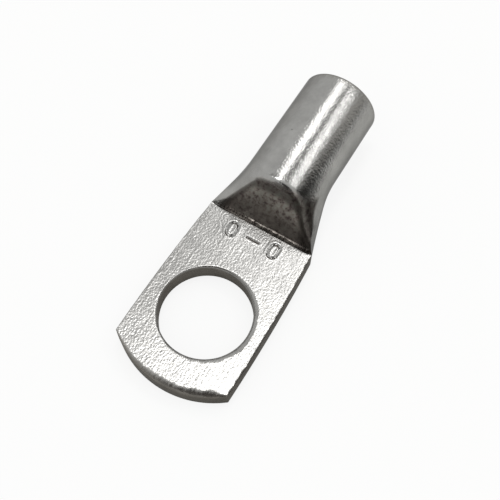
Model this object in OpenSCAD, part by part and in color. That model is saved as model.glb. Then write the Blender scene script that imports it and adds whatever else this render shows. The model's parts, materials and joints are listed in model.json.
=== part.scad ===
// Tubular cable lug for a small conductor: one length of round tube, pressed flat at one end
// into a palm with a punched stud hole. X runs out along the barrel, Y across the palm and
// Z up, away from the contact face. The origin is the stud hole's centre on the contact face,
// which lies in one plane with the underside of the barrel.

/* [Palm] */
// Greatest width across the palm
palm_w = 8.34; // [7.8:0.02:9.6]
// Thickness of the metal, pressed flat
palm_t = 1.5; // [1.2:0.05:1.9]
// Stud hole centre to the tip of the rounded end
palm_reach = 5.4; // [4.6:0.1:7]
// Stud hole centre to the crease at the foot of the shoulder
crease_x = 6.94; // [6.2:0.02:8]
// Radius of the rounded end
end_r = 6.6; // [5.4:0.1:9]
// Radius of the slightly bowed long sides
side_r = 126; // [80:1:200]
// Where the bowed sides are widest, along X from the stud hole
widest_x = -1.5; // [-2.5:0.1:0]

/* [Stud hole] */
// Diameter of the stud hole
hole_d = 6.2; // [5.2:0.1:6.6]
// Radius of the rolled upper edge of the stud hole
hole_roll_r = 0.35; // [0.2:0.05:0.5]

/* [Punched end] */
// Radius of the rolled upper edge at the tip of the rounded end
end_roll_r = 0.45; // [0.3:0.05:0.6]
// Radius of the line that the end's roll follows, so that it fades out at the corners
end_roll_line_r = 9.6; // [9.2:0.1:13]

/* [Barrel] */
// Outside diameter of the barrel
barrel_d = 5.5; // [5.1:0.1:6.2]
// Diameter of the bore that takes the conductor
bore_d = 3.8; // [3:0.1:4.2]
// Stud hole centre to the mouth of the barrel
mouth_x = 17.8; // [15:0.1:24]
// How far behind the top of the shoulder the round bore ends
bore_floor_gap = 0.9; // [0.6:0.05:1.6]
// Radius on the outer edge of the mouth
rim_r = 0.22; // [0.1:0.02:0.4]
// Width of the chamfer on the inner edge of the mouth
mouth_chamfer = 0.16; // [0.08:0.02:0.3]

/* [Shoulder] */
// Slope of the shoulder above the palm, in degrees
ramp_angle = 69.5; // [62:0.5:76]
// Length over which the top of the shoulder rounds into the barrel
shoulder_blend = 0.45; // [0.3:0.05:0.7]
// How much further back the flanks meet the barrel than the top does
flank_run = 2.4; // [1.8:0.1:2.8]
// Length over which the flanks round into the barrel
flank_blend = 1.2; // [0.8:0.1:1.5]
// Where the fold between ramp and flank meets the barrel, in degrees from its top
fold_angle = 71; // [64:1:78]
// Where the flank turns under the barrel, in degrees from its top
foot_angle = 128; // [118:1:140]

/* [Pinched end of the bore] */
// Crease to the tip of the pinched end
pinch_inset = 0.45; // [0.3:0.05:0.8]
// Width of the slit at that tip
pinch_w = 5.2; // [4:0.1:5.6]
// Height of the slit at that tip
pinch_h = 0.12; // [0.08:0.02:0.2]

/* [Stamped marks] */
// Length of each ring mark, along the lug
mark_len = 1.2; // [0.9:0.05:1.4]
// Width of each ring mark
mark_w = 0.8; // [0.6:0.05:1]
// Width of the stamped line
mark_line = 0.18; // [0.12:0.02:0.22]
// Depth of the stamped line
mark_depth = 0.1; // [0.05:0.01:0.2]
// Centre to centre of the two ring marks
mark_pitch = 3.2; // [2.6:0.1:4]
// Crease to the centre line of the marks
mark_inset = 1.05; // [0.9:0.05:1.1]
// Length of the dash between them
dash_len = 0.9; // [0.6:0.1:1.2]

/* [Hidden] */

tin = [0.67, 0.67, 0.65];
over = 1; // how far a cutter stands out of the metal
lap = 0.4; // how far the shoulder's shell runs on inside the palm and the barrel
sink = 0.02; // how far a faceted surface stays inside the true one that it joins
lift = 0.03; // how far a roll's centre stands off, so that the roll cuts its faces at an angle

barrel_r = barrel_d / 2;
bore_r = bore_d / 2;
hole_r = hole_d / 2;
neck_half_w = side_y(crease_x);
knee_top_x = crease_x + (barrel_d - palm_t) / tan(ramp_angle);
loft_end_x = knee_top_x + flank_run + flank_blend;
bore_floor_x = knee_top_x + bore_floor_gap;
mark_x = crease_x - mark_inset;

// facets in a full turn of each kind of round
round_fn = 96;
end_fn = 240;
bow_fn = 1440;
edge_fn = 48;
pinch_fn = 32;

// steps around and along the shoulder's shell
top_steps = 12;
side_steps = 7;
foot_steps = 6;
rule_steps = 3;
round_steps = 6;
knee_power = 3.5; // how late, going down the barrel, the knee sweeps back
blend_power = 4; // how late the rounding of the knee grows long

// Half width of the palm at x, on its bowed side
function side_y(x) =
    palm_w / 2 - side_r + sqrt(side_r * side_r - (x - widest_x) * (x - widest_x));

// Angles of the shell's rails on one side, in degrees from the top of the barrel
half_angles = concat(
    [for (i = [0 : top_steps - 1]) fold_angle * i / top_steps],
    [for (i = [0 : side_steps - 1]) fold_angle + (foot_angle - fold_angle) * i / side_steps],
    [for (i = [0 : foot_steps]) foot_angle + (180 - foot_angle) * i / foot_steps]
);
last_angle = len(half_angles) - 1;
rail_angles = concat(
    half_angles,
    [for (i = [last_angle - 1 : -1 : 1]) -half_angles[i]]
);

// Where a rail leaves the palm's flat section at the crease; a is its angle, never negative
function palm_point(a) =
    let (
        half_w = neck_half_w - sink,
        low = sink,
        high = palm_t - sink
    )
    a <= fold_angle ? [crease_x, half_w * sin(a) / sin(fold_angle), high]
    : a <= foot_angle ? [crease_x, half_w, low + (high - low) * (foot_angle - a) / (foot_angle - fold_angle)]
    : [crease_x, half_w * (180 - a) / (180 - foot_angle), low];

// Where a rail meets the barrel, before its corner is rounded
function knee_point(a) = [
    knee_top_x + flank_run * pow(1 - cos(min(a, 90)), knee_power),
    (barrel_r - sink) * sin(a),
    barrel_r + (barrel_r - sink) * cos(a)
];

// Length of the rounding at that corner: short on top, long on the flanks
function blend_length(a) =
    shoulder_blend + (flank_blend - shoulder_blend) * pow(sin(min(a, 90)), blend_power);

// One rail, from inside the palm, over the crease and along the barrel's skin
function rail(a) =
    let (
        start = palm_point(a),
        knee = knee_point(a),
        blend = blend_length(a),
        before = knee + blend * (start - knee) / norm(start - knee),
        after = knee + [blend, 0, 0]
    )
    concat(
        [start - [lap, 0, 0]],
        [for (i = [0 : rule_steps - 1]) start + (before - start) * i / rule_steps],
        [for (i = [0 : round_steps - 1])
            let (t = i / round_steps)
            before * (1 - t) * (1 - t) + knee * 2 * t * (1 - t) + after * t * t],
        [[loft_end_x + lap, knee[1], knee[2]]]
    );

// The same point on the side that the angle's sign says
function mirrored(p, a) = [p[0], a < 0 ? -p[1] : p[1], p[2]];

// The shell between the flat palm and the round barrel
module shoulder() {
    rails = [for (a = rail_angles) [for (p = rail(abs(a))) mirrored(p, a)]];
    n = len(rails);
    m = len(rails[0]);
    polyhedron(
        points = concat([for (r = rails, p = r) p], [[crease_x - lap, 0, palm_t / 2]]),
        faces = concat(
            [for (i = [0 : n - 1], k = [0 : m - 2])
                let (j = (i + 1) % n)
                [i * m + k, j * m + k, j * m + k + 1]],
            [for (i = [0 : n - 1], k = [0 : m - 2])
                let (j = (i + 1) % n)
                [i * m + k, j * m + k + 1, i * m + k + 1]],
            [for (i = [0 : n - 1]) [n * m, (i + 1) % n * m, i * m]],
            [[for (i = [0 : n - 1]) i * m + m - 1]]
        ),
        convexity = 4
    );
}

// Plan of the palm: a rounded end and two bowed sides, cut off at the crease
module palm_plan() {
    end_centre_x = end_r - palm_reach;
    intersection() {
        union() {
            translate([end_centre_x, 0])
                circle(r = end_r, $fn = end_fn);
            translate([end_centre_x, -palm_w])
                square([crease_x - end_centre_x, 2 * palm_w]);
        }
        inside_bow(1);
        inside_bow(-1);
        translate([-palm_reach - over, -palm_w])
            square([palm_reach + over + crease_x, 2 * palm_w]);
    }
}

// All that lies inside one bowed side; s is 1 for the left one and -1 for the right one
module inside_bow(s) {
    translate([widest_x, s * (palm_w / 2 - side_r)])
        circle(r = side_r, $fn = bow_fn);
}

// The flat plate, with the edge of its rounded end rolled over as the punch leaves it
module palm() {
    difference() {
        linear_extrude(height = palm_t)
            palm_plan();
        translate([end_roll_line_r - palm_reach - lift, 0, lift])
            rotate_extrude($fn = end_fn)
                corner(end_roll_line_r, palm_t, end_roll_r);
    }
}

// The plain round length, from the shoulder's shell to the mouth, with its softened rim
module barrel() {
    translate([0, 0, barrel_r])
        rotate([0, 90, 0])
            rotate_extrude($fn = round_fn)
                difference() {
                    translate([0, loft_end_x])
                        square([barrel_r, mouth_x - loft_end_x]);
                    corner(barrel_r, mouth_x, rim_r);
                }
}

// What a round edge of radius round_r takes off the upper right corner of a profile, at [x, y]
module corner(x, y, round_r) {
    difference() {
        translate([x - round_r, y - round_r])
            square(round_r + over);
        translate([x - round_r, y - round_r])
            circle(r = round_r, $fn = edge_fn);
    }
}

// Cutter for the stud hole: the punched wall and the edge that rolled in above it
module stud_hole() {
    rotate_extrude($fn = round_fn) {
        translate([0, -over])
            square([hole_r, palm_t + 2 * over]);
        translate([hole_r, 0])
            mirror([1, 0])
                translate([-hole_roll_r, lift])
                    corner(hole_roll_r, palm_t, hole_roll_r);
    }
}

// Cutter for the conductor's bore, its chamfered mouth and the pinched end behind it
module conductor_bore() {
    translate([0, 0, barrel_r])
        rotate([0, 90, 0])
            rotate_extrude($fn = round_fn)
                polygon([
                    [0, bore_floor_x],
                    [bore_r, bore_floor_x],
                    [bore_r, mouth_x - mouth_chamfer],
                    [bore_r + mouth_chamfer + over, mouth_x + over],
                    [0, mouth_x + over]
                ]);
    hull() {
        translate([bore_floor_x, 0, barrel_r])
            rotate([0, 90, 0])
                cylinder(r = bore_r - sink, h = lap, $fn = pinch_fn);
        translate([crease_x + pinch_inset, -pinch_w / 2, (palm_t - pinch_h) / 2])
            cube([sink, pinch_w, pinch_h]);
    }
}

// Outline of a stamped ring: two half rounds joined by straight runs along X
module pill(len, width) {
    square([len - width, width], center = true);
    for (s = [-1, 1])
        translate([s * (len - width) / 2, 0])
            circle(d = width, $fn = edge_fn);
}

// Cutter for the stamp: a ring, a dash and a ring, in a row along the crease
module stamped_marks() {
    translate([mark_x, 0, palm_t - mark_depth])
        linear_extrude(height = mark_depth + over) {
            for (s = [-1, 1])
                translate([0, s * mark_pitch / 2])
                    difference() {
                        pill(mark_len, mark_w);
                        pill(mark_len - 2 * mark_line, mark_w - 2 * mark_line);
                    }
            square([mark_line, dash_len], center = true);
        }
}

module cable_lug() {
    color(tin)
        difference() {
            union() {
                palm();
                shoulder();
                barrel();
            }
            stud_hole();
            conductor_bore();
            stamped_marks();
        }
}

cable_lug();
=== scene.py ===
import json
from math import acos, cos, hypot, pi, radians, sin, sqrt, tan

import bmesh
import bpy
import numpy as np
from mathutils import Matrix, Vector, noise


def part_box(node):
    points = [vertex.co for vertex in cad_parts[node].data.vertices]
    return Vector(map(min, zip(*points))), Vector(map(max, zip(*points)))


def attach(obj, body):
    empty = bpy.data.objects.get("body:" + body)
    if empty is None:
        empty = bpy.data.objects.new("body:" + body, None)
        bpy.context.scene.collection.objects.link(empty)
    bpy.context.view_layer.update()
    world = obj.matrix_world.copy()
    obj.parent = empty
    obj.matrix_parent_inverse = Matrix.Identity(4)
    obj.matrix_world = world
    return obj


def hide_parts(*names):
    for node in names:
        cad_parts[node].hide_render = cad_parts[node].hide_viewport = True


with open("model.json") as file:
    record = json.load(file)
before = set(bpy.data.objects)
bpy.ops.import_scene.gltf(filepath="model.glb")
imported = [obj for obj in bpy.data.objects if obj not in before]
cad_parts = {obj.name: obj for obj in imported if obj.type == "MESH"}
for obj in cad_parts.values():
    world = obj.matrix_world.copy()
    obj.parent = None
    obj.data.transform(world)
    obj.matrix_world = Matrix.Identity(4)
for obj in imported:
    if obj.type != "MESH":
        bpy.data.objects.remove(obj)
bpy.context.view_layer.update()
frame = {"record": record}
print("frame loaded")

mm = 0.001
record = frame["record"]
mounts = {m["name"]: m for m in record["mounts"]}
lugLow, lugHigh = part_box("cable_lug")


# one call adds a node: settings are the node's own options, inputs are values or sockets to link
def addNode(tree, kind, settings=None, inputs=None):
    node = tree.nodes.new(kind)
    for name, value in (settings or {}).items():
        setattr(node, name, value)
    for key, value in (inputs or {}).items():
        socket = node.inputs[key]
        if isinstance(value, bpy.types.NodeSocket):
            tree.links.new(value, socket)
        else:
            socket.default_value = value
    return node


def linearColour(hexColour, alpha=1.0):
    parts = [int(hexColour[i:i + 2], 16) / 255 for i in (1, 3, 5)]
    return tuple(c / 12.92 if c <= 0.04045 else ((c + 0.055) / 1.055) ** 2.4 for c in parts) + (alpha,)


def addObject(name, data):
    obj = bpy.data.objects.new(name, data)
    bpy.context.collection.objects.link(obj)
    return obj


def newMaterial(name):
    material = bpy.data.materials.new(name)
    material.use_nodes = True
    material.node_tree.nodes.clear()
    return material, material.node_tree


def storeAttribute(mesh, name, values, kind="FLOAT"):
    attribute = mesh.attributes.new(name, kind, "POINT")
    key = "vector" if kind == "FLOAT_VECTOR" else "value"
    attribute.data.foreach_set(key, np.asarray(values, dtype=np.float32).ravel())


# corner indices of a grid's faces, closed in either direction if asked
def gridFaces(a, b, closeA=False, closeB=False):
    index = np.arange(a * b).reshape(a, b)
    p, q = np.meshgrid(np.arange(a if closeA else a - 1), np.arange(b if closeB else b - 1), indexing="ij")
    return np.stack([index[p, q], index[(p + 1) % a, q], index[(p + 1) % a, (q + 1) % b],
                     index[p, (q + 1) % b]], axis=-1).reshape(-1, 4)


def ease(low, high, value):
    k = min(max((value - low) / (high - low), 0.0), 1.0)
    return k * k * (3 - 2 * k)


# the camera stands at the foot of the palm and looks down along the lug
cameraPlace = {
    "eye": (-14.004, -12.232, 49.095),  # mm from the stud hole's centre
    "right": (0.51957, -0.8544, -0.00641),
    "up": (0.7732, 0.46698, 0.42906),
    "lens": 57.57,
    "sensor": 36.0,
}


def placeCamera(place):
    data = bpy.data.cameras.new("camera")
    data.lens = place["lens"]
    data.sensor_width = place["sensor"]
    data.clip_start = 1 * mm
    camera = addObject("camera", data)
    right = Vector(place["right"]).normalized()
    up = Vector(place["up"])
    up = (up - up.dot(right) * right).normalized()
    turn = Matrix((right, up, right.cross(up))).transposed()
    camera.matrix_world = Matrix.Translation(Vector(place["eye"]) * mm) @ turn.to_4x4()
    bpy.context.scene.camera = camera


placeCamera(cameraPlace)

studio = {
    "floorSize": 3.0,  # m
    "floorColour": "#d6d6d4",
    "floorWhite": 0.85,  # share of the floor that the camera sees as plain white
    "whiteInMetal": 0.3,  # and the share that the metal reflects as plain white
    "worldColour": "#fdfefd",
    "worldStrength": 0.95,
}

# lamps over the lug: the directions of their two ends from the lug, width in m and radiance
lamps = {
    "leftTube": {"ends": ((0.40, -0.06, 0.914), (0.575, 0.265, 0.774)), "wide": 0.05, "radiance": 8.5},
    "rightTube": {"ends": ((0.40, -0.613, 0.681), (0.575, -0.252, 0.778)), "wide": 0.016, "radiance": 19.0},
    "tubeEnd": {"ends": ((0.577, 0.265, 0.774), (0.577, -0.252, 0.778)), "wide": 0.018, "radiance": 10.0},
    "palmLamp": {"ends": ((-0.06, 0.235, 0.97), (0.30, 0.05, 0.95)), "wide": 0.055, "radiance": 17.0},
}
lampAway = 0.6  # m from the lug
lugMiddle = Vector((8, 0, 2)) * mm

# dull cards that only the metal's reflections see: degrees round from +X, degrees up from the floor,
# the colours of the first and last side, and the degrees between which one turns into the other
cards = {
    "cardBehindCamera": {"round": (162, 246), "up": (0, 50),
                         "colours": ("#a4a09e", "#6a6664"), "turn": (165, 200)},
    "cardOverCamera": {"round": (185, 256), "up": (50, 80),
                       "colours": ("#2b2725", "#2b2725"), "turn": (185, 250)},
    "cardBesideMouth": {"round": (-62, -40), "up": (8, 36),
                        "colours": ("#141212", "#dddbd8"), "turn": (-62, -53)},
    "cardBeyondMouth": {"round": (-78, -61), "up": (0, 40),
                        "colours": ("#141212", "#141212"), "turn": (-78, -62)},
    "cardOverPalm": {"round": (28, 88), "up": (57, 70.5),
                     "colours": ("#7f7f7d", "#7f7f7d"), "turn": (30, 80)},
    # this one runs between two directions from the lug, like a lamp, with its width in m
    "cardBetweenTubes": {"ends": ((0.40, -0.27, 0.876), (0.562, -0.03, 0.826)), "wide": 0.13,
                         "colours": ("#3a3534", "#3a3534")},
}
cardSteps = {"round": 48, "up": 8}
# dull cards lying just over the floor, seen only in the metal as well, painted shade standing in for the
# shaded floor beside the lug: their corners in mm
floorCards = {
    "cardBesideBarrel": {"corners": ((11, -5.2), (44.5, -60), (70, -60), (70, -3.2), (11, -3.2)),
                         "colour": "#e6e6e4"},
    "cardBesidePalm": {"corners": ((-40, -60), (44, -60), (10.6, -5.4), (-40, -5.4)),
                       "colour": "#3c3836"},
}
floorCardLift = 0.1 * mm
cardAway = 0.5  # m from the lug


def makeFloor(settings):
    half = settings["floorSize"] / 2
    mesh = bpy.data.meshes.new("floor")
    corners = [(-half, -half, 0), (half, -half, 0), (half, half, 0), (-half, half, 0)]
    mesh.from_pydata(corners, [], [(0, 1, 2, 3)])
    mesh.transform(Matrix.Translation((0, 0, lugLow[2])))
    floor = addObject("floor", mesh)
    material, tree = newMaterial("matt white paper sweep")
    path = addNode(tree, "ShaderNodeLightPath")
    inMetal = addNode(tree, "ShaderNodeMath", {"operation": "ADD", "use_clamp": True},
                      {0: path.outputs["Is Glossy Ray"], 1: path.outputs["Is Transmission Ray"]})
    inMetal = addNode(tree, "ShaderNodeMath", {"operation": "MULTIPLY"},
                      {0: inMetal.outputs[0], 1: settings["whiteInMetal"]})
    share = addNode(tree, "ShaderNodeMath", {"operation": "MULTIPLY_ADD", "use_clamp": True},
                    {0: path.outputs["Is Camera Ray"], 1: settings["floorWhite"], 2: inMetal.outputs[0]})
    paper = addNode(tree, "ShaderNodeBsdfDiffuse", inputs={"Color": linearColour(settings["floorColour"])})
    white = addNode(tree, "ShaderNodeEmission", inputs={"Strength": 1.0})
    mix = addNode(tree, "ShaderNodeMixShader",
                  inputs={0: share.outputs[0], 1: paper.outputs[0], 2: white.outputs[0]})
    addNode(tree, "ShaderNodeOutputMaterial", inputs={"Surface": mix.outputs[0]})
    mesh.materials.append(material)


def lightWorld(settings):
    world = bpy.data.worlds.new("studio")
    bpy.context.scene.world = world
    world.use_nodes = True
    tree = world.node_tree
    tree.nodes.clear()
    glow = addNode(tree, "ShaderNodeBackground", inputs={
        "Color": linearColour(settings["worldColour"]), "Strength": settings["worldStrength"]})
    addNode(tree, "ShaderNodeOutputWorld", inputs={"Surface": glow.outputs[0]})


def hangLamp(name, lamp):
    first, last = (Vector(end).normalized() * lampAway for end in lamp["ends"])
    middle = (first + last) / 2
    toward = middle.normalized()
    longSide = (last - first - (last - first).dot(toward) * toward).normalized()
    data = bpy.data.lights.new(name, "AREA")
    data.shape = "RECTANGLE"
    data.size = (last - first).length
    data.size_y = lamp["wide"]
    data.energy = lamp["radiance"] * pi * data.size * data.size_y
    obj = addObject(name, data)
    turn = Matrix((longSide, toward.cross(longSide), toward)).transposed()
    obj.matrix_world = Matrix.Translation(lugMiddle + middle) @ turn.to_4x4()
    obj.visible_camera = False


# a card of its own colours that nothing but glossy rays sees
def paintCard(name, mesh, colours):
    obj = addObject(name, mesh)
    material, tree = newMaterial("dull card " + name)
    side = addNode(tree, "ShaderNodeAttribute", {"attribute_name": "fade"})
    shade = addNode(tree, "ShaderNodeMix", {"data_type": "RGBA"}, {
        "Factor": side.outputs["Fac"], 6: linearColour(colours[0]), 7: linearColour(colours[1])})
    paint = addNode(tree, "ShaderNodeBsdfDiffuse", inputs={"Color": shade.outputs[2]})
    addNode(tree, "ShaderNodeOutputMaterial", inputs={"Surface": paint.outputs[0]})
    mesh.materials.append(material)
    obj.visible_camera = False
    obj.visible_diffuse = False
    obj.visible_shadow = False
    obj.visible_transmission = False


# a card bent round the lug, between two heights or along a line between two directions
def hangCard(name, card):
    across, high = cardSteps["round"], cardSteps["up"]
    ways, fade = [], []
    for j in range(high + 1):
        for i in range(across + 1):
            if "ends" in card:
                first, last = (Vector(end).normalized() for end in card["ends"])
                side = first.cross(last).normalized() * card["wide"] * (j / high - 0.5) / cardAway
                ways.append((first.lerp(last, i / across) + side).normalized())
                fade.append(0)
                continue
            up = radians(card["up"][0] + (card["up"][1] - card["up"][0]) * j / high)
            around = radians(card["round"][0] + (card["round"][1] - card["round"][0]) * i / across)
            ways.append(Vector((cos(up) * cos(around), cos(up) * sin(around), sin(up))))
            fade.append(ease(radians(card["turn"][0]), radians(card["turn"][1]), around))
    mesh = bpy.data.meshes.new(name)
    points = [lugMiddle + way * cardAway for way in ways]
    mesh.from_pydata(points, [], gridFaces(high + 1, across + 1).tolist())
    storeAttribute(mesh, "fade", fade)
    paintCard(name, mesh, card["colours"])


def layCard(name, card):
    mesh = bpy.data.meshes.new(name)
    corners = card["corners"]
    points = [(x * mm, y * mm, lugLow[2] + floorCardLift) for x, y in corners]
    mesh.from_pydata(points, [], [tuple(range(len(corners)))])
    storeAttribute(mesh, "fade", [0] * len(corners))
    paintCard(name, mesh, (card["colour"], card["colour"]))


makeFloor(studio)
lightWorld(studio)
for lampName, lamp in lamps.items():
    hangLamp(lampName, lamp)
for cardName, card in cards.items():
    hangCard(cardName, card)
for cardName, card in floorCards.items():
    layCard(cardName, card)
bpy.context.scene.view_settings.view_transform = "Standard"
print("camera, floor and light set")

# sizes in mm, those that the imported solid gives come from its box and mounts
lug = {
    "palmReach": -lugLow[0] / mm,
    "palmHalfWidth": lugHigh[1] / mm,
    "palmThickness": 1.5,
    "creaseX": 6.94,
    "endRadius": 6.6,
    "sideRadius": 126.0,
    "widestX": -1.5,
    "holeRadius": mounts["stud_hole"]["dims"]["r_mm"],
    "holeRoll": 0.22,
    "holeRollLean": (-0.06, -0.17),  # the roll is wider on the side that the punch left by
    "rollCut": 0.3,  # how much of a cut face the foot of that roll is
    "endRoll": 0.45,
    "endRollLine": 7.4,
    "endRollLean": 0.2,  # the roll stays wide further on the right
    "endRollTaper": 0.7,  # and narrows to the side's roll over this length at a corner
    "sideRoll": 0.09,
    "leftRollShare": 0.6,  # how wide the left side's roll is against the right one's
    "sideRollStart": 0.5,  # length over which it grows from nothing at the crease
    "ragged": 0.30,  # share by which the rolled edges of end and hole wander
    "barrelRadius": (lugHigh[2] - lugLow[2]) / mm / 2,
    "boreRadius": mounts["conductor_bore"]["dims"]["r_mm"],
    "mouthX": lugHigh[0] / mm,
    "rimRadius": 0.22,
    "mouthChamfer": 0.16,
    "boreFloorGap": 0.9,
    "boreCut": 0.5,  # how much of the cut face's darker, rougher finish the bore gets: painted shade inside the bore
    "pinchInset": 0.45,
    "pinchHalfWidth": 2.6,
    "rampAngle": 69.5,
    "rampSwell": 0.2,  # how far the ramp's sides stand out from a straight rule
    "swellGrows": (15, 62),  # degrees from the top over which that comes
    "swellFades": (74, 112),  # and goes
    "shoulderBlend": 0.45,
    "flankBlend": 1.2,
    "flankRun": 2.4,
    "foldAngle": 71.0,
    "footAngle": 128.0,
    "kneePower": 3.5,
    "blendPower": 4.0,
    "creaseDrop": 0.05,  # the palm's top rounds down into the crease
    "creaseRound": 0.14,
    "closeRows": 0.4,  # at most this share of the way from the hole has close rows
    "creaseSquare": 12,  # how sharply the drop ends at the crease's corners
    "footShare": 0.1,  # of the ramp, with its rows closer together
    "joinWithin": 0.002,  # points nearer than this become one
    "speckUnder": 0.0005,  # and edges shorter than this go
    "sharpAngle": 32,  # degrees, past which an edge isn't shaded smooth
    # small ledge that the punch leaves above the crease, whole on the right and ticks on the left
    "ledge": {
        "height": 0.3,
        "depth": 0.07,
        "clear": 1.3,  # starts this many crease drops up
        "from": 0.9,  # across the palm, left is positive
        "to": -3.5,
        "fade": 0.2,
        "bead": 0.9,  # share by which it wanders, and that wander's length
        "beadLength": 0.13,
        "seed": 21.3,
        "tickPitch": 0.24,
        "tickShare": 0.6,
        "tickFade": (3.6, 3.3),
    },
    # slow and quick wander of a rolled edge's width: share and length of each, and its seeds
    "wanders": {
        "left": {"slow": (0.8, 0.3), "quick": (0.5, 0.11), "seeds": (3.1, 7.1)},
        "right": {"slow": (0.8, 0.3), "quick": (0.5, 0.11), "seeds": (5.3, 9.3)},
        "end": {"slow": (1.0, 0.35), "quick": (0.6, 0.12), "seeds": (7.7, 9.2)},
        "hole": {"slow": (1.0, 0.45), "quick": (0.5, 0.14), "seeds": (11.4, 13.9)},
    },
    # the punch's print on the shoulder. A pair is from where to where something fades in or out:
    # round the shoulder in degrees from its top, or along it, where the crease is 0, the knee 1 and
    # the start of the straight barrel 2. Its edge and rims count to the left, the rest to the right
    "print": {
        "leftEdge": 54.0,
        "leftLean": 30.0,  # degrees nearer the top at the knee
        "leftSoft": 10,
        "rightSoft": 2,
        "ends": 1.5,  # where it ends along the left and the middle
        "endsLater": 0.5,  # and how much further along that is on the right
        "laterRound": (10, 40),
        "endSoft": 0.5,  # length over which it fades out there
        "foldIn": (34, 56),  # darkest at the right fold: partly wear, partly painted shade standing in for a dark reflection
        "foldOut": (74, 71),
        "foldAlong": (2.1, 1.6),
        "kneeIn": (28, 42),  # and over the knee beside it
        "kneeOut": (62, 52),
        "kneeFrom": (0.9, 1.2),
        "kneeTo": (2.4, 1.9),
        "sideRimIn": (-17, -6),  # dark rim inside the left edge, in degrees from that edge
        "sideRimOut": (5, -1),
        "sideRimAlong": (1.4, 1.1),
        "topRimFrom": (0.74, 0.92),  # and one along the top
        "topRimTo": (1.5, 1.15),
        "topRimOut": (3, -7),
        "rimShare": 0.85,  # how dark the rims are against the fold
    },
    # plain marks stamped beside the crease: two rings and a dash
    "marks": {
        "length": 1.2,
        "width": 0.8,
        "line": 0.16,
        "depth": 0.055,
        "pitch": 3.2,
        "inset": 1.05,
        "dash": 0.9,
        "cornerSteps": 8,
        "cornerShare": 0.499,  # of the ring's width, just under a half so that no corner is lost
        "wallTo": 0.6,  # the groove's wall ends this many line widths from its middle
        "wallFrom": 0.1,
        "lip": 0.18,  # metal pushed up beside the groove, share of its depth
    },
    # how many steps the skin has in each stretch
    "steps": {
        "crease": 140, "corner": 12, "side": 70, "end": 124, "holeWall": 6, "roll": 6, "top": 56,
        "topEdge": 8, "bottom": 6, "foot": 12, "ruled": 42, "knee": 12, "barrel": 26, "rim": 6,
        "bore": 6, "pinch": 4,
    },
}
ledge, wanders, punchPrint, marks, steps = (
    lug[part] for part in ("ledge", "wanders", "print", "marks", "steps"))


def sideY(x):
    r = lug["sideRadius"]
    return lug["palmHalfWidth"] - r + sqrt(r * r - (x - lug["widestX"]) ** 2)


def endX(y):
    r = lug["endRadius"]
    return r - lug["palmReach"] - sqrt(r * r - y * y)


# smooth noise along s, its waves about size long
def wander(s, seed, size):
    return noise.noise(Vector((s / size, seed, 0.5)))


# the slow and the quick wander of one edge together, at the length s along it
def waver(s, edge):
    return sum(share * wander(s, seed, length)
               for (share, length), seed in zip((edge["slow"], edge["quick"]), edge["seeds"]))


# where the bowed side meets the rounded end
cornerX = endX(sideY(0))
for _ in range(8):
    cornerX = endX(sideY(cornerX))
neckHalf = sideY(lug["creaseX"])


# how wide and deep the edge is rolled at a point of the rounded end
def endRollAt(x, y):
    line = lug["endRollLine"]
    depth = line - hypot(x - (line - lug["palmReach"]), y - lug["endRollLean"])
    width = max(lug["endRoll"] - depth, 0.0)
    return width, lug["endRoll"] - sqrt(max(lug["endRoll"] ** 2 - width ** 2, 0.0))


def sidePoint(x, edge, wide):
    grow = min((lug["creaseX"] - x) / lug["sideRollStart"], 1.0)
    roll = wide * grow * (1 + waver(x, edge))
    return x, sideY(x), 0.0, 1.0, roll, roll


# the palm's outline from the crease's left corner round the end to its right corner:
# x, y, outward normal, width and depth of the rolled edge
def palmOutline():
    side = steps["side"]
    down = [lug["creaseX"] + (cornerX - lug["creaseX"]) * i / side for i in range(side + 1)]
    left = [sidePoint(x, wanders["left"], lug["sideRoll"] * lug["leftRollShare"]) for x in down]
    mirrored = [sidePoint(x, wanders["right"], lug["sideRoll"]) for x in down[::-1]]
    right = [(x, -y, nx, -ny, w, d) for x, y, nx, ny, w, d in mirrored]
    centreX = lug["endRadius"] - lug["palmReach"]
    spread = acos((centreX - cornerX) / lug["endRadius"])
    end = []
    for i in range(1, steps["end"]):
        a = spread * (1 - 2 * i / steps["end"])
        nx, ny = -cos(a), sin(a)
        x, y = centreX + lug["endRadius"] * nx, lug["endRadius"] * ny
        width, depth = endRollAt(x, y)
        width *= 1 + lug["ragged"] * waver(y, wanders["end"])
        tip = ease(0.0, lug["endRollTaper"], sideY(cornerX) - abs(y))
        width, depth = (lug["sideRoll"] + max(k - lug["sideRoll"], 0.0) * tip for k in (width, depth))
        end.append((x, y, nx, ny, width, depth))
    return left + end + right


# angles of the shoulder's rails over the crease, in degrees from the top of the barrel
def topAngles():
    n = steps["crease"]
    return [lug["foldAngle"] * (1 - 2 * i / n) for i in range(n + 1)]


def creaseY(angle):
    return neckHalf * sin(radians(angle)) / sin(radians(lug["foldAngle"]))


# how far the crease lies under the palm's top, nothing at its two corners
def creaseDrop(y):
    return lug["creaseDrop"] * (1 - abs(y / neckHalf) ** lug["creaseSquare"])


# wall and rolled upper edge of the stud hole towards (x, y), and where the flat top starts:
# each row is x, y, z and how much of a cut face it is
def holeRows(x, y):
    t, r = lug["palmThickness"], lug["holeRadius"]
    reach = hypot(x, y)
    ux, uy = x / reach, y / reach
    roll = lug["holeRoll"] + lug["holeRollLean"][0] * ux + lug["holeRollLean"][1] * uy
    s = np.arctan2(y, x) * r
    wide = roll * (1 + lug["ragged"] * waver(s, wanders["hole"]))
    rows = [(ux * r, uy * r, (t - roll) * i / steps["holeWall"], 1.0)
            for i in range(steps["holeWall"])]
    for i in range(steps["roll"]):
        a = pi / 2 * i / steps["roll"]
        out = r + wide * (1 - cos(a))
        rows.append((ux * out, uy * out, t - roll + roll * sin(a), lug["rollCut"] * cos(a)))
    return rows, (ux * (r + wide), uy * (r + wide))


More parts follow.
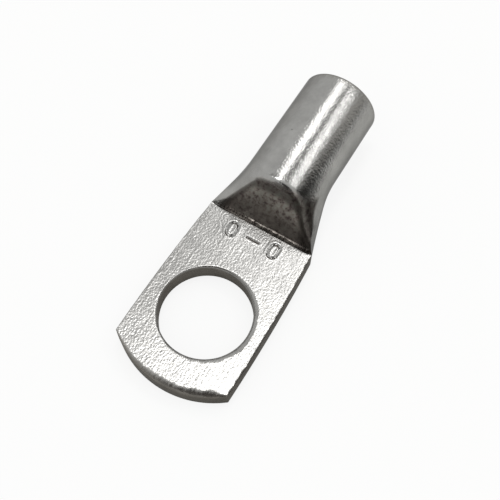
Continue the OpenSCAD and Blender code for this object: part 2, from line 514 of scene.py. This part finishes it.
# shares of the way from the hole to the outline, closer together near the outline
def topShares(start, stop):
    whole = hypot(stop[0] - start[0], stop[1] - start[1])
    near = min(lug["creaseRound"] / whole, lug["closeRows"])
    return ([(1 - near) * i / steps["top"] for i in range(steps["top"])]
            + [1 - near + near * i / steps["topEdge"] for i in range(steps["topEdge"])])


def towards(start, stop, k):
    return start[0] + (stop[0] - start[0]) * k, start[1] + (stop[1] - start[1]) * k


# the flat palm, hole to outline and back underneath, and its neck between the hole and the crease
def palmPatches():
    t = lug["palmThickness"]
    ring = []
    for x, y, nx, ny, width, depth in palmOutline():
        rows, start = holeRows(x, y)
        stop = (x - nx * width, y - ny * width)
        rows += [(*towards(start, stop, k), t, 0.0) for k in topShares(start, stop)]
        for i in range(steps["roll"]):
            a = pi / 2 * i / steps["roll"]
            k = width * sin(a)
            rows.append((stop[0] + nx * k, stop[1] + ny * k, t - depth * (1 - cos(a)), sin(a)))
        rows += [(x, y, (t - depth) * (1 - i / steps["corner"]), 1.0) for i in range(steps["corner"])]
        rows += [(*towards((x, y), rows[0], i / steps["bottom"]), 0.0, 0.0) for i in range(steps["bottom"])]
        ring.append(rows)
    neck = []
    for angle in topAngles():
        stop = lug["creaseX"], creaseY(angle)
        rows, start = holeRows(*stop)
        under = [(*towards(stop, rows[0], i / steps["bottom"]), 0.0, 0.0) for i in range(steps["bottom"])]
        over = []
        for k in topShares(start, stop) + [1.0]:
            x, y = towards(start, stop, k)
            near = ease(lug["creaseX"] - lug["creaseRound"], lug["creaseX"] + lug["creaseRound"], x) * 2
            over.append((x, y, t - creaseDrop(stop[1]) * near, 0.0))
        neck.append(under + rows + over)
    return np.array(ring), np.array(neck)[::-1]


# rails round the shoulder, once round from the left fold over the top: palm point, barrel angle
def railStarts():
    t = lug["palmThickness"]
    fold, foot = lug["foldAngle"], lug["footAngle"]
    rails = [((lug["creaseX"], creaseY(a), t - creaseDrop(creaseY(a))), a) for a in topAngles()]
    for i in range(1, steps["corner"]):
        k = i / steps["corner"]
        rails.append(((lug["creaseX"], -neckHalf, t * (1 - k)), -(fold + (foot - fold) * k)))
    for a in topAngles()[::-1]:
        around = 180 - (180 - foot) * abs(a) / fold
        rails.append(((lug["creaseX"], creaseY(a), 0.0), around if a > 0 else -around))
    for i in range(1, steps["corner"]):
        k = 1 - i / steps["corner"]
        rails.append(((lug["creaseX"], neckHalf, t * (1 - k)), fold + (foot - fold) * k))
    return rails


def kneePoint(angle):
    r = lug["barrelRadius"]
    top = lug["creaseX"] + (2 * r - lug["palmThickness"]) / tan(radians(lug["rampAngle"]))
    back = lug["flankRun"] * (1 - cos(radians(min(abs(angle), 90)))) ** lug["kneePower"]
    return top + back, r * sin(radians(angle)), r + r * cos(radians(angle))


def blendLength(angle):
    late = sin(radians(min(abs(angle), 90))) ** lug["blendPower"]
    return lug["shoulderBlend"] + (lug["flankBlend"] - lug["shoulderBlend"]) * late


# how far a rail bows out from straight, most on the ramp's two sides
def swellOf(angle):
    grown = ease(*lug["swellGrows"], abs(angle))
    return lug["rampSwell"] * grown * (1 - ease(*lug["swellFades"], abs(angle)))


# an empty Geometry Nodes tree with a socket for each number, and what those sockets give
def newTree(name, numbers):
    tree = bpy.data.node_groups.new(name, "GeometryNodeTree")
    tree.interface.new_socket("Geometry", in_out="INPUT", socket_type="NodeSocketGeometry")
    for number in numbers:
        tree.interface.new_socket(number, in_out="INPUT", socket_type="NodeSocketFloat")
    tree.interface.new_socket("Geometry", in_out="OUTPUT", socket_type="NodeSocketGeometry")
    return tree, addNode(tree, "NodeGroupInput").outputs


# each tree ends as one real mesh of the given material
def endTree(tree, geometry, material):
    whole = addNode(tree, "GeometryNodeRealizeInstances", inputs={"Geometry": geometry.outputs[0]})
    plated = addNode(tree, "GeometryNodeSetMaterial",
                     inputs={"Geometry": whole.outputs[0], "Material": material})
    addNode(tree, "NodeGroupOutput", inputs={"Geometry": plated.outputs[0]})
    return tree


# Geometry Nodes tree that lays every vertex of the shoulder and barrel on its rail: straight from
# the palm to the knee, round the knee, and straight along the barrel
def railTree(material):
    tree, given = newTree("pressedShoulder", ("Barrel end", "Ramp angle"))
    kinds = {"palmPoint": "FLOAT_VECTOR", "kneePoint": "FLOAT_VECTOR", "blendLength": "FLOAT",
             "along": "FLOAT", "swell": "FLOAT"}
    palmAt, kneeAt, blendBy, alongBy, swellBy = (
        addNode(tree, "GeometryNodeInputNamedAttribute", {"data_type": kind},
                {"Name": name}).outputs["Attribute"] for name, kind in kinds.items())
    down = addNode(tree, "ShaderNodeVectorMath", {"operation": "SUBTRACT"}, {0: palmAt, 1: kneeAt})
    down = addNode(tree, "ShaderNodeVectorMath", {"operation": "NORMALIZE"}, {0: down.outputs[0]})
    down = addNode(tree, "ShaderNodeVectorMath", {"operation": "SCALE"},
                   {0: down.outputs[0], "Scale": blendBy})
    before = addNode(tree, "ShaderNodeVectorMath", {"operation": "ADD"}, {0: kneeAt, 1: down.outputs[0]})
    shift = addNode(tree, "ShaderNodeCombineXYZ", inputs={"X": blendBy})
    after = addNode(tree, "ShaderNodeVectorMath", {"operation": "ADD"}, {0: kneeAt, 1: shift.outputs[0]})
    parts = addNode(tree, "ShaderNodeSeparateXYZ", inputs={0: kneeAt})
    last = addNode(tree, "ShaderNodeCombineXYZ", inputs={
        "X": given["Barrel end"], "Y": parts.outputs["Y"], "Z": parts.outputs["Z"]})
    # how far along each of the three stretches, 0 to 1
    onRamp = addNode(tree, "ShaderNodeClamp", inputs={"Value": alongBy})
    turn = addNode(tree, "ShaderNodeMath", {"operation": "SUBTRACT", "use_clamp": True},
                   {0: alongBy, 1: 1.0})
    onBarrel = addNode(tree, "ShaderNodeMath", {"operation": "SUBTRACT", "use_clamp": True},
                       {0: alongBy, 1: 2.0})
    ways = (
        (palmAt, before.outputs[0], onRamp.outputs[0]),
        (before.outputs[0], kneeAt, turn.outputs[0]),
        (kneeAt, after.outputs[0], turn.outputs[0]),
        (after.outputs[0], last.outputs[0], onBarrel.outputs[0]),
    )
    mixed = [addNode(tree, "ShaderNodeMix", {"data_type": "VECTOR"}, {"Factor": k, 4: a, 5: b}).outputs[1]
             for a, b, k in ways]
    bend = addNode(tree, "ShaderNodeMix", {"data_type": "VECTOR"},
                   {"Factor": turn.outputs[0], 4: mixed[1], 5: mixed[2]})
    bend = addNode(tree, "ShaderNodeVectorMath", {"operation": "SUBTRACT"},
                   {0: bend.outputs[1], 1: before.outputs[0]})
    run = addNode(tree, "ShaderNodeVectorMath", {"operation": "SUBTRACT"},
                  {0: mixed[3], 1: after.outputs[0]})
    # the bow of the ramp's sides, square to the ramp
    half = addNode(tree, "ShaderNodeMath", {"operation": "MULTIPLY"}, {0: onRamp.outputs[0], 1: pi})
    bow = addNode(tree, "ShaderNodeMath", {"operation": "SINE"}, {0: half.outputs[0]})
    bow = addNode(tree, "ShaderNodeMath", {"operation": "MULTIPLY"}, {0: bow.outputs[0], 1: swellBy})
    slope = addNode(tree, "ShaderNodeMath", {"operation": "RADIANS"}, {0: given["Ramp angle"]})
    flat = addNode(tree, "ShaderNodeMath", {"operation": "SINE"}, {0: slope.outputs[0]})
    flat = addNode(tree, "ShaderNodeMath", {"operation": "MULTIPLY"}, {0: flat.outputs[0], 1: -1.0})
    rise = addNode(tree, "ShaderNodeMath", {"operation": "COSINE"}, {0: slope.outputs[0]})
    square = addNode(tree, "ShaderNodeCombineXYZ", inputs={"X": flat.outputs[0], "Z": rise.outputs[0]})
    out = addNode(tree, "ShaderNodeVectorMath", {"operation": "SCALE"},
                  {0: square.outputs[0], "Scale": bow.outputs[0]})
    total = mixed[0]
    for part in (bend, run, out):
        both = addNode(tree, "ShaderNodeVectorMath", {"operation": "ADD"}, {0: total, 1: part.outputs[0]})
        total = both.outputs[0]
    laid = addNode(tree, "GeometryNodeSetPosition",
                   inputs={"Geometry": given["Geometry"], "Position": total})
    return endTree(tree, laid, material)


# Geometry Nodes tree that presses two rings and a dash into the palm
def marksTree(material):
    tree, size = newTree("stampedMarks", (
        "Centre X", "Height", "Length", "Width", "Line", "Depth", "Pitch", "Dash"))
    longer = addNode(tree, "ShaderNodeMath", {"operation": "SUBTRACT"},
                     {0: size["Length"], 1: size["Line"]})
    wider = addNode(tree, "ShaderNodeMath", {"operation": "SUBTRACT"}, {0: size["Width"], 1: size["Line"]})
    corner = addNode(tree, "ShaderNodeMath", {"operation": "MULTIPLY"}, {
        0: wider.outputs[0], 1: marks["cornerShare"]})
    outline = addNode(tree, "GeometryNodeCurvePrimitiveQuadrilateral", inputs={
        "Width": longer.outputs[0], "Height": wider.outputs[0]})
    ring = addNode(tree, "GeometryNodeFilletCurve", {"mode": "POLY"}, {
        "Curve": outline.outputs[0], "Radius": corner.outputs[0], "Count": marks["cornerSteps"]})
    # one ring each side of the middle
    apart = addNode(tree, "ShaderNodeMath", {"operation": "MULTIPLY"}, {0: size["Pitch"], 1: 0.5})
    start = addNode(tree, "ShaderNodeCombineXYZ", inputs={
        "X": size["Centre X"], "Y": apart.outputs[0], "Z": size["Height"]})
    back = addNode(tree, "ShaderNodeMath", {"operation": "MULTIPLY"}, {0: size["Pitch"], 1: -1.0})
    offset = addNode(tree, "ShaderNodeCombineXYZ", inputs={"Y": back.outputs[0]})
    places = addNode(tree, "GeometryNodeMeshLine", {"mode": "OFFSET"}, {
        "Count": 2, "Start Location": start.outputs[0], "Offset": offset.outputs[0]})
    rings = addNode(tree, "GeometryNodeInstanceOnPoints", inputs={
        "Points": places.outputs[0], "Instance": ring.outputs[0]})
    rings = addNode(tree, "GeometryNodeRealizeInstances", inputs={"Geometry": rings.outputs[0]})
    # the dash between them
    halfDash = addNode(tree, "ShaderNodeMath", {"operation": "MULTIPLY"}, {0: size["Dash"], 1: 0.5})
    otherHalf = addNode(tree, "ShaderNodeMath", {"operation": "MULTIPLY"}, {0: size["Dash"], 1: -0.5})
    ends = [addNode(tree, "ShaderNodeCombineXYZ", inputs={
        "X": size["Centre X"], "Y": y.outputs[0], "Z": size["Height"]}) for y in (halfDash, otherHalf)]
    dash = addNode(tree, "GeometryNodeCurvePrimitiveLine", inputs={
        "Start": ends[0].outputs[0], "End": ends[1].outputs[0]})
    lines = addNode(tree, "GeometryNodeJoinGeometry")
    for curve in (rings, dash):
        tree.links.new(curve.outputs[0], lines.inputs[0])
    wires = addNode(tree, "GeometryNodeCurveToMesh", inputs={"Curve": lines.outputs[0]})
    near = addNode(tree, "GeometryNodeProximity", {"target_element": "EDGES"}, {0: wires.outputs[0]})
    wallTo, wallFrom = (addNode(tree, "ShaderNodeMath", {"operation": "MULTIPLY"}, {
        0: size["Line"], 1: marks[name]}) for name in ("wallTo", "wallFrom"))
    groove = addNode(tree, "ShaderNodeMapRange", {"interpolation_type": "SMOOTHSTEP"}, {
        "Value": near.outputs["Distance"], "From Min": wallFrom.outputs[0], "From Max": wallTo.outputs[0],
        "To Min": 1.0, "To Max": 0.0})
    # metal pushed up beside the groove
    lipFrom = addNode(tree, "ShaderNodeMath", {"operation": "SUBTRACT"}, {
        0: near.outputs["Distance"], 1: size["Line"]})
    lip = addNode(tree, "ShaderNodeMath", {"operation": "ABSOLUTE"}, {0: lipFrom.outputs[0]})
    lip = addNode(tree, "ShaderNodeMapRange", {"interpolation_type": "SMOOTHSTEP"}, {
        "Value": lip.outputs[0], "From Min": 0.0, "From Max": wallTo.outputs[0],
        "To Min": marks["lip"], "To Max": 0.0})
    press = addNode(tree, "ShaderNodeMath", {"operation": "SUBTRACT"},
                    {0: lip.outputs[0], 1: groove.outputs[0]})
    press = addNode(tree, "ShaderNodeMath", {"operation": "MULTIPLY"},
                    {0: press.outputs[0], 1: size["Depth"]})
    down = addNode(tree, "ShaderNodeCombineXYZ", inputs={"Z": press.outputs[0]})
    pressed = addNode(tree, "GeometryNodeSetPosition", inputs={
        "Geometry": size["Geometry"], "Offset": down.outputs[0]})
    return endTree(tree, pressed, material)


# runs one Geometry Nodes tree on a mesh and gives back the plain mesh
def runTree(mesh, tree, values):
    obj = addObject(tree.name, mesh)
    modifier = obj.modifiers.new(tree.name, "NODES")
    modifier.node_group = tree
    for item in tree.interface.items_tree:
        if item.in_out == "INPUT" and item.name in values:
            modifier[item.identifier] = values[item.name]
    result = bpy.data.meshes.new_from_object(obj.evaluated_get(bpy.context.evaluated_depsgraph_get()))
    bpy.data.objects.remove(obj)
    bpy.data.meshes.remove(mesh)
    return result


# how far the ledge over the crease stands proud at y
def ledgeAt(y):
    fade = ledge["fade"]
    whole = ease(ledge["from"] + fade, ledge["from"] - fade, y) * ease(ledge["to"] - fade, ledge["to"], y)
    bead = whole * (1 + ledge["bead"] * wander(y, ledge["seed"], ledge["beadLength"]))
    tick = (1 - whole) * ease(*ledge["tickFade"], y) * (y > 0)
    tick = tick * max(sin(2 * pi * y / ledge["tickPitch"]), 0) * ledge["tickShare"]
    return ledge["depth"] * (bead + tick)


# the shoulder and barrel, rails across and stations along, with how pressed each point is, how much wear
# and painted shade darken it, and how far it lies above the palm
def shoulderPatch(material):
    rails = railStarts()
    foot = lug["footShare"]
    alongs = ([foot * i / steps["foot"] for i in range(steps["foot"])]
              + [foot + (1 - foot) * i / steps["ruled"] for i in range(steps["ruled"])]
              + [1 + i / steps["knee"] for i in range(steps["knee"])]
              + [2 + i / steps["barrel"] for i in range(steps["barrel"] + 1)])
    n, m = len(rails), len(alongs)
    angles = np.repeat(np.array([a for _, a in rails])[:, None], m, axis=1)
    along = np.tile(alongs, (n, 1))
    palmPoints = np.repeat(np.array([p for p, _ in rails])[:, None], m, axis=1)
    mesh = bpy.data.meshes.new("shoulder")
    mesh.from_pydata(palmPoints.reshape(-1, 3).tolist(), [], gridFaces(n, m, closeA=True).tolist())
    storeAttribute(mesh, "palmPoint", palmPoints, "FLOAT_VECTOR")
    storeAttribute(mesh, "kneePoint", [[kneePoint(a)] * m for _, a in rails], "FLOAT_VECTOR")
    storeAttribute(mesh, "blendLength", [[blendLength(a)] * m for _, a in rails])
    storeAttribute(mesh, "swell", [[swellOf(a)] * m for _, a in rails])
    storeAttribute(mesh, "along", along)
    laid = runTree(mesh, railTree(material), {
        "Barrel end": lug["mouthX"] - lug["rimRadius"], "Ramp angle": lug["rampAngle"]})
    points = np.empty(n * m * 3, dtype=np.float32)
    laid.vertices.foreach_get("co", points)
    bpy.data.meshes.remove(laid)
    points = points.reshape(n, m, 3).astype(float)
    # the ledge over the crease stands proud of the ramp, and breaks up into ticks towards the left
    up = points[:, :, 2] - points[:, :1, 2]
    proud = (up > lug["creaseDrop"] * ledge["clear"]) & (up < ledge["height"])
    proud = proud & (np.abs(angles) < lug["foldAngle"])
    points[:, :, 0] -= proud * np.vectorize(ledgeAt)(points[:, :, 1])
    # the punch's dull print ends at the folds, and sooner on the left
    soft = np.vectorize(ease)
    right = -angles
    leftSoft, rightSoft = punchPrint["leftSoft"], punchPrint["rightSoft"]
    leftEdge = punchPrint["leftEdge"] - punchPrint["leftLean"] * np.clip(along, 0, 1) ** 2
    inPrint = (np.clip((lug["foldAngle"] + rightSoft / 2 + angles) / rightSoft, 0, 1)
               * np.clip((leftEdge + leftSoft / 2 - angles) / leftSoft, 0, 1))
    ends = punchPrint["ends"] + punchPrint["endsLater"] * soft(*punchPrint["laterRound"], right)
    pressed = inPrint * np.clip(ends - along, 0, punchPrint["endSoft"]) / punchPrint["endSoft"]
    # darkest at the right fold and over the knee there: partly wear, partly painted shade standing in for
    # the dark reflection on that side
    beforeFlank = soft(*punchPrint["foldOut"], right)
    onFold = soft(*punchPrint["foldIn"], right) * beforeFlank * soft(*punchPrint["foldAlong"], along)
    onKnee = (soft(*punchPrint["kneeOut"], right) * soft(*punchPrint["kneeIn"], right)
              * soft(*punchPrint["kneeFrom"], along) * soft(*punchPrint["kneeTo"], along))
    # and darker rims down the print's left side and along its top
    sideIn, sideOut, topOut = ([leftEdge + k for k in punchPrint[name]]
                               for name in ("sideRimIn", "sideRimOut", "topRimOut"))
    sideRim = soft(*sideIn, angles) * soft(*sideOut, angles) * soft(*punchPrint["sideRimAlong"], along)
    topRim = (soft(*punchPrint["topRimFrom"], along) * soft(*punchPrint["topRimTo"], along)
              * soft(*topOut, angles) * beforeFlank)
    rims = punchPrint["rimShare"] * np.maximum(sideRim, topRim)
    # together these darken the colour: partly wear, partly painted shade for the dark reflection at the
    # right fold and knee
    rubbed = np.maximum(np.maximum(onFold, onKnee), rims)
    return points, pressed, rubbed, up


# the barrel's rim, its mouth, the bore and the pinched end behind it, on the same rails
def borePatch():
    r, bore = lug["barrelRadius"], lug["boreRadius"]
    rim, chamfer = lug["rimRadius"], lug["mouthChamfer"]
    floor = kneePoint(0)[0] + lug["boreFloorGap"]
    tip = lug["creaseX"] + lug["pinchInset"]
    profile = [(lug["mouthX"] - rim + rim * sin(a), r - rim + rim * cos(a))
               for a in (pi / 2 * i / steps["rim"] for i in range(steps["rim"] + 1))]
    profile += [(lug["mouthX"], bore + chamfer), (lug["mouthX"] - chamfer / 2, bore + chamfer / 2)]
    start = lug["mouthX"] - chamfer
    profile += [(start + (floor - start) * i / steps["bore"], bore) for i in range(steps["bore"] + 1)]
    points = []
    for (_, py, _), angle in railStarts():
        ring = [(x, q * sin(radians(angle)), r + q * cos(radians(angle))) for x, q in profile]
        _, y0, z0 = ring[-1]
        endY, endZ = py / neckHalf * lug["pinchHalfWidth"], lug["palmThickness"] / 2
        for i in range(1, steps["pinch"] + 1):
            k = i / steps["pinch"]
            ring.append((floor + (tip - floor) * k, y0 + (endY - y0) * k, z0 + (endZ - z0) * k))
        points.append(ring)
    return np.array(points)


def makeLug(material):
    ring, neck = palmPatches()
    shoulder, pressed, rubbed, up = shoulderPatch(material)
    bore = borePatch()
    patches = [
        (ring[..., :3], gridFaces(*ring.shape[:2], closeB=True), {"cut": ring[..., 3]}),
        (neck[..., :3], gridFaces(*neck.shape[:2]), {"cut": neck[..., 3]}),
        (shoulder, gridFaces(*shoulder.shape[:2], closeA=True), {
            "pressed": pressed, "rubbed": rubbed, "up": up}),
        # the bore's darker colour is painted shade inside the tube
        (bore, gridFaces(*bore.shape[:2], closeA=True), {"cut": np.full(bore.shape[:2], lug["boreCut"])}),
    ]
    verts, faces, kept = [], [], {"cut": [], "pressed": [], "rubbed": [], "up": []}
    for points, patchFaces, values in patches:
        faces += (patchFaces + len(verts)).tolist()
        verts += points.reshape(-1, 3).tolist()
        for name, known in kept.items():
            known += values.get(name, np.zeros(points.shape[:2])).ravel().tolist()
    skin = bpy.data.meshes.new("skin")
    skin.from_pydata(verts, [], faces)
    for name, value in kept.items():
        storeAttribute(skin, name, value)
    mesh = runTree(skin, marksTree(material), {
        "Centre X": lug["creaseX"] - marks["inset"], "Height": lug["palmThickness"],
        "Length": marks["length"], "Width": marks["width"], "Line": marks["line"],
        "Depth": marks["depth"], "Pitch": marks["pitch"], "Dash": marks["dash"]})
    bm = bmesh.new()
    bm.from_mesh(mesh)
    bmesh.ops.remove_doubles(bm, verts=bm.verts, dist=lug["joinWithin"])
    bmesh.ops.dissolve_degenerate(bm, edges=bm.edges, dist=lug["speckUnder"])
    bmesh.ops.recalc_face_normals(bm, faces=bm.faces)
    bmesh.ops.scale(bm, vec=(mm, mm, mm), verts=bm.verts)
    openEdges = sum(1 for e in bm.edges if not e.is_manifold)
    print("lug skin:", len(bm.verts), "vertices,", len(bm.faces), "faces,", openEdges, "open edges,",
          round(bm.calc_volume() / mm ** 3, 1), "mm3")
    bm.to_mesh(mesh)
    bm.free()
    mesh.name = "lugBody"
    for polygon in mesh.polygons:
        polygon.use_smooth = True
    mesh.set_sharp_from_angle(angle=radians(lug["sharpAngle"]))
    return addObject("lugBody", mesh)


# sizes in mm and colours of the plated faces
finish = {
    "tin": "#9b9a98",
    "cutFace": "#76726c",
    # the ramp's pressed colours: partly its own copper tint, partly painted shade darkening it
    "pressedFace": "#948d87",
    "pressedDark": "#5e5452",
    "pressedLight": "#a6a69d",
    "pressedStops": (0.38, 0.5, 0.66),  # where in the blotches dark, face and light colour lie
    "edgeTint": 0.45,  # how bright the metal stays at a grazing look
    "rubbedDark": 0.38,  # how much of the colour stays where wear and painted shade darken it
    "rubbedRange": (0.7, 1.4),  # of blotch and that wear and painted shade together, from bright to dark
    "blotch": 0.35,
    "blotchMean": 0.47,  # value that they gather round
    "blotchLow": 0.45,  # how strong the blotches are low on the ramp
    "blotchRise": (1.2, 2.6),  # height over which they grow to their whole strength
    "creaseSoft": 0.02,  # each side of the crease, from the palm's finish to the barrel's
    "grain": 0.14,  # real grain is about 0.1, drawn coarser so that it shows
    "grainHeight": 0.0135,
    "barrelGrain": 0.9,  # times as high on the barrel as on the palm
    "barrelRough": 0.215,
    "palmRough": 0.275,
    "pressedRough": 0.33,
    "cutRough": 0.42,
    "scratchLong": 3.5,
    "scratchApart": 0.14,
    "scratchDeep": 0.006,
    "shearApart": 0.12,
    "shearWaves": 0.3,  # to the mm, up the sheared edge
    "shearDeep": 0.012,
    "dieLineApart": 0.12,
    "dieLineLong": 2.0,
    "dieLineDeep": 0.05,
    "dieLineEnd": (1.2, 0.8),  # where they fade out, in heights of the ledge
    "stain": 1.3,
    "stainRange": (0.3, 0.7),
    "stainShade": (0.85, 1.12),  # the metal's colour is multiplied by this
    "pitApart": 1.0,
    "pitRadius": 0.05,
    "pitFloor": 0.6,  # share of that radius at full depth
    "pitShade": 0.25,  # and this share of the colour is left in a pit
}


# bright tin electroplated on a pressed tube: the bath leaves a fine grain that glitters under a lamp,
# the punch leaves the ramp dull with lines at its foot, darker with its own tint and with painted shade,
# and the shear grey edges
def tinnedCopper():
    material, tree = newMaterial("tin electroplated on pressed copper tube")
    where = addNode(tree, "ShaderNodeTexCoord")
    place = addNode(tree, "ShaderNodeVectorMath", {"operation": "SCALE"},
                    {0: where.outputs["Object"], "Scale": 1 / mm}).outputs[0]
    cut, pressed, rubbed, up = (addNode(tree, "ShaderNodeAttribute",
                                        {"attribute_name": name}).outputs["Fac"]
                                for name in ("cut", "pressed", "rubbed", "up"))
    axes = addNode(tree, "ShaderNodeSeparateXYZ", inputs={0: place})
    onPalm = addNode(tree, "ShaderNodeMapRange", inputs={
        "Value": axes.outputs["X"], "From Min": lug["creaseX"] + finish["creaseSoft"],
        "From Max": lug["creaseX"] - finish["creaseSoft"]})
    # fine grain all over
    grain = addNode(tree, "ShaderNodeTexNoise", inputs={
        "Vector": place, "Scale": 1 / finish["grain"], "Detail": 1.0, "Roughness": 0.5})
    grainShare = addNode(tree, "ShaderNodeMapRange", inputs={
        "Value": onPalm.outputs[0], "To Min": finish["barrelGrain"], "To Max": 1.0})
    grainUp = addNode(tree, "ShaderNodeMath", {"operation": "MULTIPLY"},
                      {0: grain.outputs[0], 1: grainShare.outputs[0]})
    normal = addNode(tree, "ShaderNodeBump", inputs={
        "Strength": 1.0, "Distance": finish["grainHeight"] * mm, "Height": grainUp.outputs[0]})
    # faint scratches along the palm, lines up the ramp's foot and up the sheared edges
    scratchFade = addNode(tree, "ShaderNodeMath", {"operation": "SUBTRACT", "use_clamp": True},
                          {0: onPalm.outputs[0], 1: cut})
    linesFrom, linesTo = (ledge["height"] * k for k in finish["dieLineEnd"])
    atFoot = addNode(tree, "ShaderNodeMapRange", inputs={
        "Value": up, "From Min": linesFrom, "From Max": linesTo})
    atFoot = addNode(tree, "ShaderNodeMath", {"operation": "MULTIPLY"}, {0: atFoot.outputs[0], 1: pressed})
    scratch, shear = 1 / finish["scratchApart"], 1 / finish["shearApart"]
    foot, footLong = 1 / finish["dieLineApart"], 1 / finish["dieLineLong"]
    for stretch, deep, share in (
            ((1 / finish["scratchLong"], scratch, scratch), finish["scratchDeep"], scratchFade.outputs[0]),
            ((footLong, foot, footLong), finish["dieLineDeep"], atFoot.outputs[0]),
            ((shear, shear, finish["shearWaves"]), finish["shearDeep"], cut)):
        way = addNode(tree, "ShaderNodeVectorMath", {"operation": "MULTIPLY"}, {0: place, 1: stretch})
        lines = addNode(tree, "ShaderNodeTexNoise",
                        inputs={"Vector": way.outputs[0], "Scale": 1.0, "Detail": 1.0})
        normal = addNode(tree, "ShaderNodeBump", inputs={
            "Strength": share, "Distance": deep * mm, "Height": lines.outputs[0],
            "Normal": normal.outputs[0]})
    # slow stains, and a few black pits
    stain = addNode(tree, "ShaderNodeTexNoise", inputs={
        "Vector": place, "Scale": 1 / finish["stain"], "Detail": 3.0, "Roughness": 0.6})
    shade = addNode(tree, "ShaderNodeMapRange", inputs={
        "Value": stain.outputs[0],
        "From Min": finish["stainRange"][0], "From Max": finish["stainRange"][1],
        "To Min": finish["stainShade"][0], "To Max": finish["stainShade"][1]})
    pits = addNode(tree, "ShaderNodeTexVoronoi", inputs={"Vector": place, "Scale": 1 / finish["pitApart"]})
    pits = addNode(tree, "ShaderNodeMapRange", inputs={
        "Value": pits.outputs["Distance"],
        "From Min": finish["pitRadius"] * finish["pitFloor"], "From Max": finish["pitRadius"],
        "To Min": finish["pitShade"], "To Max": 1.0})
    shade = addNode(tree, "ShaderNodeMath", {"operation": "MULTIPLY"},
                    {0: shade.outputs[0], 1: pits.outputs[0]})
    blotch = addNode(tree, "ShaderNodeTexNoise", inputs={
        "Vector": place, "Scale": 1 / finish["blotch"], "Detail": 4.0, "Roughness": 0.7})
    # darker where the lug is worn and where painted shade stands in for a dark reflection, with a broken
    # edge
    rubAndShade = addNode(tree, "ShaderNodeMath", {"operation": "ADD"}, {0: blotch.outputs[0], 1: rubbed})
    rubAndShade = addNode(tree, "ShaderNodeMapRange", inputs={
        "Value": rubAndShade.outputs[0],
        "From Min": finish["rubbedRange"][0], "From Max": finish["rubbedRange"][1],
        "To Min": 1.0, "To Max": finish["rubbedDark"]})
    shade = addNode(tree, "ShaderNodeMath", {"operation": "MULTIPLY"},
                    {0: shade.outputs[0], 1: rubAndShade.outputs[0]})
    # the ramp's colour is evener at its foot
    high = addNode(tree, "ShaderNodeMapRange", inputs={
        "Value": up, "From Min": finish["blotchRise"][0], "From Max": finish["blotchRise"][1],
        "To Min": finish["blotchLow"]})
    blotch = addNode(tree, "ShaderNodeMix", {"data_type": "FLOAT"}, {
        "Factor": high.outputs[0], 2: finish["blotchMean"], 3: blotch.outputs[0]})
    burnishAndShade = addNode(tree, "ShaderNodeValToRGB", inputs={"Fac": blotch.outputs[0]})
    stops = burnishAndShade.color_ramp.elements
    darkAt, faceAt, lightAt = finish["pressedStops"]
    stops[0].position = darkAt
    stops[0].color = linearColour(finish["pressedDark"])
    stops[1].position = lightAt
    stops[1].color = linearColour(finish["pressedLight"])
    stops.new(faceAt).color = linearColour(finish["pressedFace"])
    # the ramp takes its pressed colour, partly its own tint and partly painted shade
    colour = addNode(tree, "ShaderNodeMix", {"data_type": "RGBA"}, {
        "Factor": pressed, 6: linearColour(finish["tin"]), 7: burnishAndShade.outputs["Color"]})
    colour = addNode(tree, "ShaderNodeMix", {"data_type": "RGBA"}, {
        "Factor": cut, 6: colour.outputs[2], 7: linearColour(finish["cutFace"])})
    colour = addNode(tree, "ShaderNodeVectorMath", {"operation": "SCALE"},
                     {0: colour.outputs[2], "Scale": shade.outputs[0]})
    # smoothest on the drawn barrel, duller where it was pressed or cut
    rough = addNode(tree, "ShaderNodeMix", {"data_type": "FLOAT"}, {
        "Factor": onPalm.outputs[0], 2: finish["barrelRough"], 3: finish["palmRough"]})
    rough = addNode(tree, "ShaderNodeMix", {"data_type": "FLOAT"}, {
        "Factor": pressed, 2: rough.outputs[0], 3: finish["pressedRough"]})
    rough = addNode(tree, "ShaderNodeMix", {"data_type": "FLOAT"}, {
        "Factor": cut, 2: rough.outputs[0], 3: finish["cutRough"]})
    grazing = (finish["edgeTint"],) * 3 + (1.0,)
    metal = addNode(tree, "ShaderNodeBsdfPrincipled", inputs={
        "Base Color": colour.outputs[0], "Metallic": 1.0, "Specular Tint": grazing,
        "Roughness": rough.outputs[0], "Normal": normal.outputs[0]})
    addNode(tree, "ShaderNodeOutputMaterial", inputs={"Surface": metal.outputs[0]})
    return material


lugBody = makeLug(tinnedCopper())
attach(lugBody, "root")
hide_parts("cable_lug")
print("lug made")
